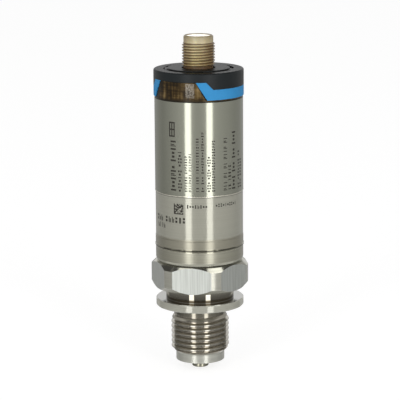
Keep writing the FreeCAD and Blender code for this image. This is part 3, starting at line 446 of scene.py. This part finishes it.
def glowing_bore():
    """The socket's bore, pale and glowing: its emission is painted light that stands in for daylight coming
    through its wall.
    """
    material, tree, shader = new_material("glowing_bore", Roughness=0.4, Emission_Strength=0.45)
    tone = ramp(tree, grain(tree, 900, 300), (0.3, srgb(240, 239, 236)), (0.7, srgb(252, 251, 249)))
    tree.links.new(tone, shader.inputs["Base Color"])
    tree.links.new(tone, shader.inputs["Emission Color"])
    relief(tree, shader, grain(tree, 1500, 1500), 0.002 * MM)
    return material


def black_plastic():
    """Black moulding, with painted shade that makes the sunk walls of the gap round the disc darker still."""
    material, tree, shader = new_material("black_plastic", Specular_IOR_Level=0.22)
    texture = grain(tree, 5200, 5200, detail=4.0)
    cloud = grain(tree, 90, 90)
    tone = blend(tree, spread(tree, cloud, 0.0, 1.0), srgb(11, 16, 18), srgb(16, 22, 25))
    tone = blend(tree, spread(tree, texture, 0.0, 0.2), tone, srgb(40, 48, 50))
    # painted shade: near black on the gap's walls at the rim's radius
    off_rim = maths(tree, "ABSOLUTE", maths(tree, "SUBTRACT", axis_distance(tree), RIM_RADIUS))
    wall = maths(tree, "LESS_THAN", off_rim, 0.01 * MM)
    tree.links.new(blend(tree, wall, tone, grey(0.001)), shader.inputs["Base Color"])
    tree.links.new(spread(tree, texture, 0.38, 0.46), shader.inputs["Roughness"])
    relief(tree, shader, texture, 0.006 * MM)
    return material


def board(name, mask, track):
    """Solder mask over faint tracks."""
    material, tree, shader = new_material(name, Roughness=0.35)
    place = add(tree, "TexCoord").outputs["Object"]
    tracks = add(tree, "TexBrick", {
        "Vector": place, "Scale": 260.0, "Color1": mask, "Color2": mask, "Mortar": track, "Mortar Size": 0.04,
    })
    tree.links.new(tracks.outputs["Color"], shader.inputs["Base Color"])
    relief(tree, shader, tracks.outputs["Fac"], 0.03 * MM)
    return material


def speckled(name, dark, light, roughness, marks, depth, metallic=0.0, **values):
    """A plain finish with a fine speckle in its tone, gloss and relief."""
    material, tree, shader = new_material(name, Metallic=metallic, **values)
    speck = grain(tree, marks, marks)
    tree.links.new(ramp(tree, speck, (0.3, dark), (0.7, light)), shader.inputs["Base Color"])
    tree.links.new(spread(tree, speck, roughness * 0.85, roughness * 1.15), shader.inputs["Roughness"])
    relief(tree, shader, speck, depth)
    return material


# ---- new pieces ----------------------------------------------------------------------------------


def radius_of(corner):
    return math.hypot(corner.co.x, corner.co.y)


def soften(bm):
    """Smooth faces, with sharp edges where the surface really bends."""
    for face in bm.faces:
        face.smooth = True
    for edge in bm.edges:
        edge.smooth = len(edge.link_faces) == 2 and edge.calc_face_angle(math.pi) < SMOOTH_UP_TO


def link(name, data):
    thing = bpy.data.objects.new(name, data)
    bpy.context.scene.collection.objects.link(thing)
    return thing


def as_object(bm, name, materials):
    """Puts the mesh and its materials in the scene."""
    mesh = bpy.data.meshes.new(name)
    bm.to_mesh(mesh)
    bm.free()
    for material in materials:
        mesh.materials.append(material)
    return link(name, mesh)


def as_piece(bm, name, materials):
    """Makes the mesh an object that moves with the transmitter."""
    bmesh.ops.remove_doubles(bm, verts=bm.verts[:], dist=MERGE)
    bmesh.ops.recalc_face_normals(bm, faces=bm.faces[:])
    soften(bm)
    piece = as_object(bm, name, materials)
    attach(piece, "root")
    return piece


def merged_copy(node):
    bm = bmesh.new()
    bm.from_mesh(nodes[node].data)
    bmesh.ops.remove_doubles(bm, verts=bm.verts[:], dist=MERGE)
    return bm


def set_radius(corner, radius):
    share = radius / radius_of(corner)
    corner.co.x *= share
    corner.co.y *= share


def draw_in(bm, foot, head, outside, radius):
    """Draws the corners outside a radius, between two levels, in to a smaller radius."""
    for corner in bm.verts:
        if foot < corner.co.z < head and radius_of(corner) > outside:
            set_radius(corner, radius)


def thread_outline(pitch, root, crest, flank_angle, points):
    """One pitch of a thread as (radius, height) points, with its crest in the middle and soft corners."""
    run = (crest - root) * math.tan(flank_angle)
    flat = (pitch / 2 - run) / 2

    def radius_at(height):
        away = abs((height / pitch) % 1 - 0.5) * pitch
        return crest - (crest - root) * min(max((away - flat) / run, 0), 1)

    soft = 0.05 * pitch
    outline = []
    for i in range(points + 1):
        height = pitch * i / points
        radius = (radius_at(height - soft) + radius_at(height) + radius_at(height + soft)) / 3
        outline.append((radius, height))
    return outline


def thread_ring(outline, pitch, foot, head, end_radius, bore):
    """A right-hand thread from foot to head, run out at 45 degrees at both ends, as a closed ring."""
    steps = 72  # to a turn
    bm = bmesh.new()
    turns = math.ceil((head - foot) / pitch) + 2
    corners = [bm.verts.new((radius, 0, foot - 1.5 * pitch + height)) for radius, height in outline]
    edges = [bm.edges.new(pair) for pair in zip(corners, corners[1:])]
    bmesh.ops.spin(
        bm, geom=corners + edges, cent=(0, 0, 0), axis=(0, 0, 1), dvec=(0, 0, pitch / steps),
        angle=math.tau * turns, steps=steps * turns,
    )
    bmesh.ops.remove_doubles(bm, verts=bm.verts[:], dist=MERGE)
    for level, up in ((foot, -1), (head, 1)):
        bmesh.ops.bisect_plane(
            bm, geom=bm.verts[:] + bm.edges[:] + bm.faces[:], dist=1e-8,
            plane_co=(0, 0, level), plane_no=(0, 0, up), clear_outer=True,
        )
    for corner in bm.verts:
        limit = end_radius + min(corner.co.z - foot, head - corner.co.z)
        set_radius(corner, min(limit, radius_of(corner)))
    grown = bmesh.ops.extrude_edge_only(bm, edges=[edge for edge in bm.edges if edge.is_boundary])["geom"]
    for corner in grown:
        if isinstance(corner, bmesh.types.BMVert):
            set_radius(corner, bore)
    bmesh.ops.bridge_loops(bm, edges=[edge for edge in bm.edges if edge.is_boundary])
    return bm


def bead(bm, radius, level, swell, half_width):
    """A low round bead on a cylinder, closed at its back."""
    corners = []
    points = 8
    sunk = 0.05 * MM
    for i in range(points + 1):
        turn = math.pi * i / points
        corners.append(bm.verts.new((
            radius + swell * math.sin(turn), 0, level - half_width * math.cos(turn),
        )))
    back = [bm.verts.new((radius - sunk, 0, level + side * half_width)) for side in (1, -1)]
    loop = corners + back
    edges = [bm.edges.new((loop[i], loop[(i + 1) % len(loop)])) for i in range(len(loop))]
    bmesh.ops.spin(
        bm, geom=loop + edges, cent=(0, 0, 0), axis=(0, 0, 1), angle=math.tau, steps=180,
        use_merge=True,
    )


# ---- laser marks ---------------------------------------------------------------------------------


MARK_LIFT = 0.01 * MM
MARK_THICKNESS = 0.03 * MM

# Each mark is a few plain blocks: (middle along, middle up, width, height), as shares of its cell.
BLOCKS = (
    ((0.4, 0.5, 0.55, 1.0),),
    ((0.4, 0.25, 0.7, 0.4), (0.4, 0.82, 0.7, 0.36)),
    ((0.4, 0.5, 0.3, 1.0),),
    ((0.4, 0.5, 0.75, 0.5),),
    ((0.2, 0.5, 0.28, 1.0), (0.68, 0.35, 0.32, 0.7)),
)


def slab(bm, place, width, height):
    """One flat mark in the unrolled wall; it is cut into short lengths so that it can bend."""
    short = 0.4 * MM
    lengths = max(1, round(width / short))
    upright = Matrix.Rotation(math.pi / 2, 4, "X")
    bmesh.ops.create_grid(
        bm, x_segments=lengths, y_segments=1, size=0.5,
        matrix=Matrix.Translation(place) @ upright @ Matrix.Diagonal((width, height, 1, 1)),
    )


def mark_row(bm, start, words, tall, pitch, upright, seed):
    """A row of plain marks in groups of the given lengths, which runs up the wall or round it."""
    cell = 0.8 * pitch
    along = 0.0
    for number, word in enumerate(words):
        for i in range(word):
            mark = BLOCKS[(seed * 3 + number * 5 + i * i + 2 * i) % len(BLOCKS)]
            for u, v, width, height in mark:
                reach, rise = along + u * cell, (v - 0.5) * tall
                if upright:
                    slab(bm, start + Vector((rise, 0, reach)), height * tall, width * cell)
                else:
                    slab(bm, start + Vector((reach, 0, rise)), width * cell, height * tall)
            along += pitch
        along += cell


def wrap(bm, wall_radius):
    """Bends the unrolled wall round the axis, front in the middle, and thickens what is on it."""
    radius = wall_radius + MARK_LIFT
    for corner in bm.verts:
        turn = corner.co.x / radius
        corner.co.x = math.sin(turn) * radius
        corner.co.y = -math.cos(turn) * radius
    bmesh.ops.solidify(bm, geom=bm.faces[:], thickness=MARK_THICKNESS)


# ---- dressing the nodes --------------------------------------------------------------------------


def plug():
    """The amber moulding, with the 12 mm thread on its plug and a pale bore that glows with painted light."""
    window, tan = amber_window(), amber_plug()
    bore_radius, bore_floor = 4.25 * MM, PLUG_MOUTH - 8.7 * MM
    plug_radius, plug_foot = 6 * MM, PLUG_THREAD_FOOT - 3.7 * MM
    inside = 0.1 * MM
    bm = merged_copy("plug_body")
    draw_in(
        bm, PLUG_THREAD_FOOT + inside, PLUG_THREAD_HEAD - inside, outside=5.5 * MM, radius=PLUG_CORE,
    )
    for face in bm.faces:
        middle = face.calc_center_median()
        radius = math.hypot(middle.x, middle.y)
        if radius < bore_radius and middle.z > bore_floor:
            face.material_index = 2
        elif radius < plug_radius and middle.z > plug_foot:
            face.material_index = 1
    piece = as_piece(bm, "dressed_plug", [window, tan, glowing_bore()])
    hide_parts("plug_body")

    outline = thread_outline(
        PLUG_PITCH, PLUG_ROOT, PLUG_CREST, flank_angle=math.radians(32), points=14,
    )
    ring = thread_ring(
        outline, PLUG_PITCH, PLUG_THREAD_FOOT, PLUG_THREAD_HEAD,
        end_radius=PLUG_ROOT, bore=PLUG_CORE - 0.15 * MM,
    )
    as_piece(ring, "plug_thread", [tan])


def seams(weld):
    """The fine weld between the sleeve and the tube."""
    bm = bmesh.new()
    bead(bm, TUBE_RADIUS - 0.04 * MM, TUBE_LOW.z, swell=0.12 * MM, half_width=0.2 * MM)
    as_piece(bm, "tube_weld", [weld])


def tube_marks(oxide):
    """Upright rows of plain marks round the tube, with a plain grid of bars over the first."""
    foot = TUBE_LOW.z + 1.8 * MM
    columns = (  # degrees from the front, marks in each group, their height and pitch in mm
        (-24.8, (7, 6), 2.2, 1.35), (-15.2, (7, 5), 1.5, 1.15), (-6.8, (6, 7), 1.0, 0.95),
        (-1.4, (7, 7), 1.0, 0.95), (8.2, (2, 3, 13), 1.0, 1.0), (14.8, (2, 3, 15), 1.0, 1.0),
        (22.9, (4, 4, 4), 1.3, 0.95), (29.0, (19,), 1.2, 0.98), (46.3, (3, 2, 2, 4, 2), 1.5, 1.2),
        (53.4, (2, 5), 1.3, 1.2), (61.0, (4, 3, 3, 4), 1.8, 1.3), (72.0, (2, 7, 2), 1.2, 1.1),
        (78.0, (3, 6), 1.2, 1.1),
    )
    bm = bmesh.new()
    for seed, (degrees, words, tall, pitch) in enumerate(columns):
        start = Vector((math.radians(degrees) * TUBE_RADIUS, 0, foot))
        mark_row(bm, start, words, tall * MM, pitch * MM, True, seed)
    grid = Vector((math.radians(-26.6) * TUBE_RADIUS, 0, foot + 22.0 * MM))
    for step in (-1, 0, 1):
        slab(bm, grid + Vector((0, 0, step * 2.4 * MM)), 2.5 * MM, 0.5 * MM)
        slab(bm, grid + Vector((step * 1.0 * MM, 0, 0)), 0.45 * MM, 4.8 * MM)
    wrap(bm, TUBE_RADIUS)
    as_piece(bm, "tube_marks", [oxide])


def sleeve_marks(oxide):
    """Level rows of plain marks round the sleeve and a square of chance squares."""
    rows = (  # degrees from the front, mm below the sleeve's top, marks, their height and pitch in mm
        (-6.0, 3.5, (8,), 1.3, 0.95), (32.0, 3.3, (10,), 1.3, 0.95),
        (-60.0, 8.7, (3, 6), 2.1, 1.5), (-58.0, 11.3, (4,), 1.8, 1.3),
    )
    bm = bmesh.new()
    for seed, (degrees, drop, words, tall, pitch) in enumerate(rows):
        start = Vector((math.radians(degrees) * SLEEVE_RADIUS, 0, SLEEVE_TOP - drop * MM))
        mark_row(bm, start, words, tall * MM, pitch * MM, False, seed)
    cells = 10
    cell = 3.8 * MM / cells
    corner = Vector((math.radians(-24) * SLEEVE_RADIUS, 0, SLEEVE_TOP - 6.3 * MM))
    chance = random.Random(11)
    for column in range(cells):
        for row in range(cells):
            if column == 0 or row == 0 or chance.random() < 0.58:
                slab(bm, corner + Vector((column * cell, 0, row * cell)), cell, cell)
    wrap(bm, SLEEVE_RADIUS)
    as_piece(bm, "sleeve_marks", [oxide])


def dress_nodes():
    """Gives every node that isn't replaced its finish."""
    bright = steel("cell_steel", srgb(158, 158, 152), 0.26, 0.5, 30, 3000, 0.001 * MM)
    contact = speckled("lead_metal", srgb(196, 160, 84), srgb(228, 196, 118), 0.24, 3000, 0.002 * MM, 1.0)
    glass = speckled("bead_glass", srgb(96, 128, 116), srgb(128, 158, 146), 0.12, 900, 0.002 * MM, IOR=1.5)
    carrier = moulded("carrier_plastic", srgb(88, 88, 90), srgb(100, 100, 102), 0.5, 0.004 * MM)
    laminate = board("board_laminate", srgb(28, 110, 62), srgb(46, 136, 82))
    chip = speckled("chip_package", srgb(44, 44, 46), srgb(58, 58, 60), 0.5, 4000, 0.004 * MM)
    finishes = {
        "process_connection": connection_steel(),
        "housing_tube": steel("tube_steel", srgb(141, 142, 131), 0.19, 0.8, 30, 5600, 0.0008 * MM),
        "sensor_body": sleeve_steel(),
        "accent_ring": moulded(
            "blue_plastic", srgb(57, 152, 214), srgb(72, 162, 224), 0.5, 0.004 * MM, specular=0.06),
        "design_ring": black_plastic(),
        "contact_pins": contact,
        "feedthrough_pins": contact,
        "link_pins": contact,
        "isolating_diaphragm": bright,
        "cell_body": bright,
        "sensor_header": bright,
        "vent_tube": bright,
        "fill_ball": bright,
        "displacement_ring": speckled(
            "white_ceramic", srgb(224, 222, 212), srgb(240, 238, 230), 0.3, 1200, 0.003 * MM),
        "glass_seals": glass,
        "chip_pedestal": glass,
        "sensor_chip": speckled(
            "chip_silicon", srgb(122, 128, 138), srgb(140, 146, 156), 0.1, 600, 0.0005 * MM, 0.8),
        "support_ring": carrier,
        "board_carrier": carrier,
        "link_header": carrier,
        "sensor_board": laminate,
        "main_board": laminate,
        "top_board": laminate,
        "signal_asic": chip,
        "microcontroller": chip,
        "surge_diodes": chip,
        "chip_capacitors": speckled(
            "capacitor_body", srgb(186, 158, 128), srgb(204, 178, 148), 0.3, 1500, 0.002 * MM),
        "flex_cable": speckled("flex_film", srgb(190, 130, 50), srgb(214, 152, 66), 0.2, 700, 0.002 * MM),
        "filter_membrane": speckled(
            "filter_film", srgb(232, 232, 228), srgb(246, 246, 242), 0.8, 6000, 0.02 * MM),
        "o_ring_upper": speckled("seal_rubber", srgb(40, 40, 40), srgb(54, 54, 54), 0.5, 3500, 0.003 * MM),
        "retaining_ring": steel("spring_steel", srgb(120, 120, 122), 0.3, 0.0, 900, 900, 0.001 * MM),
    }
    finishes["cover_disc"] = finishes["design_ring"]
    finishes["o_ring_lower"] = finishes["o_ring_upper"]
    for name, material in finishes.items():
        nodes[name].material_slots[0].material = material


# ---- studio --------------------------------------------------------------------------------------

LOOK_AT = Vector((0, 0, 60 * MM))
CAMERA_TURN = math.radians(10.4)
CAMERA_TILT = math.radians(11.43)
CAMERA_DISTANCE = 748 * MM
CAMERA_ROLL = math.radians(0.364)
ROOM_RADIUS = 1.15
CEILING = 0.75
RAIL_FOOT, RAIL_HEAD = -0.4, -0.29  # from the aim


def direction(turn, tilt=0.0):
    """Away from the axis, at a turn from the front and a tilt above the horizon."""
    return Vector((math.sin(turn) * math.cos(tilt), -math.cos(turn) * math.cos(tilt), math.sin(tilt)))


def camera():
    data = bpy.data.cameras.new("camera")
    data.lens = 187.3
    data.sensor_width = 36
    data.shift_x = 0.0017
    data.shift_y = -0.0100
    thing = link("camera", data)
    back = direction(CAMERA_TURN, CAMERA_TILT)
    aim = (-back).to_track_quat("-Z", "Y").to_matrix().to_4x4()
    place = Matrix.Translation(LOOK_AT + back * CAMERA_DISTANCE)
    thing.matrix_world = place @ aim @ Matrix.Rotation(-CAMERA_ROLL, 4, "Z")
    bpy.context.scene.camera = thing


def strip_light(name, degrees):
    """A tall soft strip that faces the axis; its power follows from how bright its face is."""
    width, height, away, radiance = 0.28, 1.6, 1.0, 3.2
    data = bpy.data.lights.new(name, "AREA")
    data.shape = "RECTANGLE"
    data.size = width
    data.size_y = height
    data.energy = radiance * math.pi * width * height
    thing = link(name, data)
    out = direction(CAMERA_TURN + math.radians(degrees))
    facing = out.to_track_quat("Z", "Y").to_matrix().to_4x4()
    thing.matrix_world = Matrix.Translation(LOOK_AT + out * away) @ facing
    thing.visible_camera = False


def empty_material(name):
    material = bpy.data.materials.new(name)
    material.use_nodes = True
    material.node_tree.nodes.clear()
    return material, material.node_tree


def glow(name, bm, strength):
    """Makes the mesh a soft card of light that only polish sees; a function can give its strength."""
    material, tree = empty_material(name)
    if callable(strength):
        strength = strength(tree)
    light = add(tree, "Emission", {"Color": (1.0, 1.0, 0.98, 1.0), "Strength": strength})
    add(tree, "OutputMaterial", {"Surface": light.outputs[0]})
    thing = as_object(bm, name, [material])
    thing.visible_camera = False
    thing.visible_diffuse = False
    thing.visible_transmission = False
    thing.visible_shadow = False


ROOM = (  # degrees round from the camera, and how bright the room is there
    (-180, 0.3), (-150, 0.5), (-127, 0.58), (-107, 0.57), (-64, 0.88), (-40, 1.1), (-19, 1.2), (-6, 0.94),
    (4, 0.96), (20, 1.15), (39, 1.15), (55, 0.96), (88, 0.78), (108, 0.66), (150, 0.55), (180, 0.3),
)


def room_brightness(tree):
    """How bright the room is at each turn from the camera, as the turned walls of the housing show it."""
    place = add(tree, "TexCoord").outputs["Object"]
    facing = add(tree, "Mapping", {"Vector": place, "Rotation": (0, 0, math.pi / 2 - CAMERA_TURN)})
    round_axis = add(tree, "TexGradient", {"Vector": facing.outputs[0]}, gradient_type="RADIAL")
    brightest = max(level for _, level in ROOM)
    stops = [((turn + 180) / 360, grey(level / brightest)) for turn, level in ROOM]
    return maths(tree, "MULTIPLY", ramp(tree, round_axis.outputs["Fac"], *stops), brightest)


def rail_brightness(tree):
    """The rail is dark below and pales just under its top edge."""
    edge = LOOK_AT.z + RAIL_HEAD
    return between(tree, coordinates(tree)["Z"], edge - 0.025, edge - 0.008, 0.03, 0.8)


def room():
    """Walls with a dark rail and no upper part at the back, and a dark ceiling with three soft lights."""
    walls = (  # name, degrees to each side, radius, lowest and highest level from the aim, brightness
        ("lower_wall", 180, ROOM_RADIUS, -0.75, -0.02, room_brightness),
        ("upper_wall", 150, ROOM_RADIUS, -0.02, 0.69, room_brightness),
        ("dark_rail", 130, 0.96 * ROOM_RADIUS, RAIL_FOOT, RAIL_HEAD, rail_brightness),
    )
    for name, half_turn, away, low, high, brightness in walls:
        bm = bmesh.new()
        start = direction(CAMERA_TURN - math.radians(half_turn)) * away
        ends = [bm.verts.new((start.x, start.y, LOOK_AT.z + level)) for level in (low, high)]
        edge = bm.edges.new(ends)
        bmesh.ops.spin(
            bm, geom=ends + [edge], cent=(0, 0, 0), axis=(0, 0, 1), angle=math.radians(2 * half_turn),
            steps=72, use_merge=half_turn == 180,
        )
        glow(name, bm, brightness)
    over = Matrix.Translation((0, 0, CEILING))
    bm = bmesh.new()
    bmesh.ops.create_circle(bm, cap_ends=True, segments=48, radius=ROOM_RADIUS, matrix=over)
    glow("ceiling", bm, 0.12)
    facing = Matrix.Rotation(CAMERA_TURN, 4, "Z")
    for name, place, strength in (  # how far to the camera's right, and how bright
        ("ceiling_side", -0.66, 0.5), ("ceiling_left", -0.26, 2.0), ("ceiling_right", 0.28, 2.6),
    ):
        bm = bmesh.new()
        under = facing @ Matrix.Translation((place, -0.02, CEILING - 0.05))
        bmesh.ops.create_grid(bm, x_segments=1, y_segments=1, size=0.14, matrix=under)
        glow(name, bm, strength)


def floor():
    """A pale floor that takes the shadow; polish and shadow rays pass it, so metal shows the background."""
    bm = bmesh.new()
    bmesh.ops.create_grid(bm, x_segments=2, y_segments=2, size=3.0)
    bmesh.ops.translate(bm, verts=bm.verts[:], vec=(0, 0, cad_low.z))
    material, tree = empty_material("pale_floor")
    path = add(tree, "LightPath")
    pale = add(tree, "BsdfDiffuse", {"Color": grey(0.45)})
    lift = add(tree, "Emission", {
        "Color": grey(1.0),
        "Strength": maths(tree, "MULTIPLY", path.outputs["Is Camera Ray"], 0.78),
    })
    both = add(tree, "AddShader", {0: pale.outputs[0], 1: lift.outputs[0]})
    passing = maths(tree, "MAXIMUM", path.outputs["Is Glossy Ray"], path.outputs["Is Shadow Ray"])
    clear = add(tree, "BsdfTransparent")
    surface = add(tree, "MixShader", {0: passing, 1: both.outputs[0], 2: clear.outputs[0]})
    add(tree, "OutputMaterial", {"Surface": surface.outputs[0]})
    as_object(bm, "floor", [material])


def world():
    """White where the camera, polish or a clear wall looks at it, and a soft fill for everything else."""
    surroundings = bpy.data.worlds.new("studio")
    bpy.context.scene.world = surroundings
    surroundings.use_nodes = True
    tree = surroundings.node_tree
    tree.nodes.clear()
    path = add(tree, "LightPath")
    seen = maths(tree, "MAXIMUM", path.outputs["Is Camera Ray"], path.outputs["Is Glossy Ray"])
    seen = maths(tree, "MAXIMUM", seen, path.outputs["Is Transmission Ray"])
    fill = 0.42
    light = add(tree, "Background", {
        "Color": grey(1.0), "Strength": between(tree, seen, 0.0, 1.0, fill, 1.0),
    })
    add(tree, "OutputWorld", {"Surface": light.outputs[0]})


def studio():
    bpy.context.scene.view_settings.view_transform = "Standard"
    world()
    floor()
    strip_light("strip_left", -28.4)
    strip_light("strip_right", 27.5)
    room()
    camera()


plug()
seams(steel("weld_steel", srgb(196, 193, 180), 0.2, 0.0, 2000, 2000, 0.002 * MM))
oxide = laser_oxide()
tube_marks(oxide)
sleeve_marks(oxide)
dress_nodes()
studio()
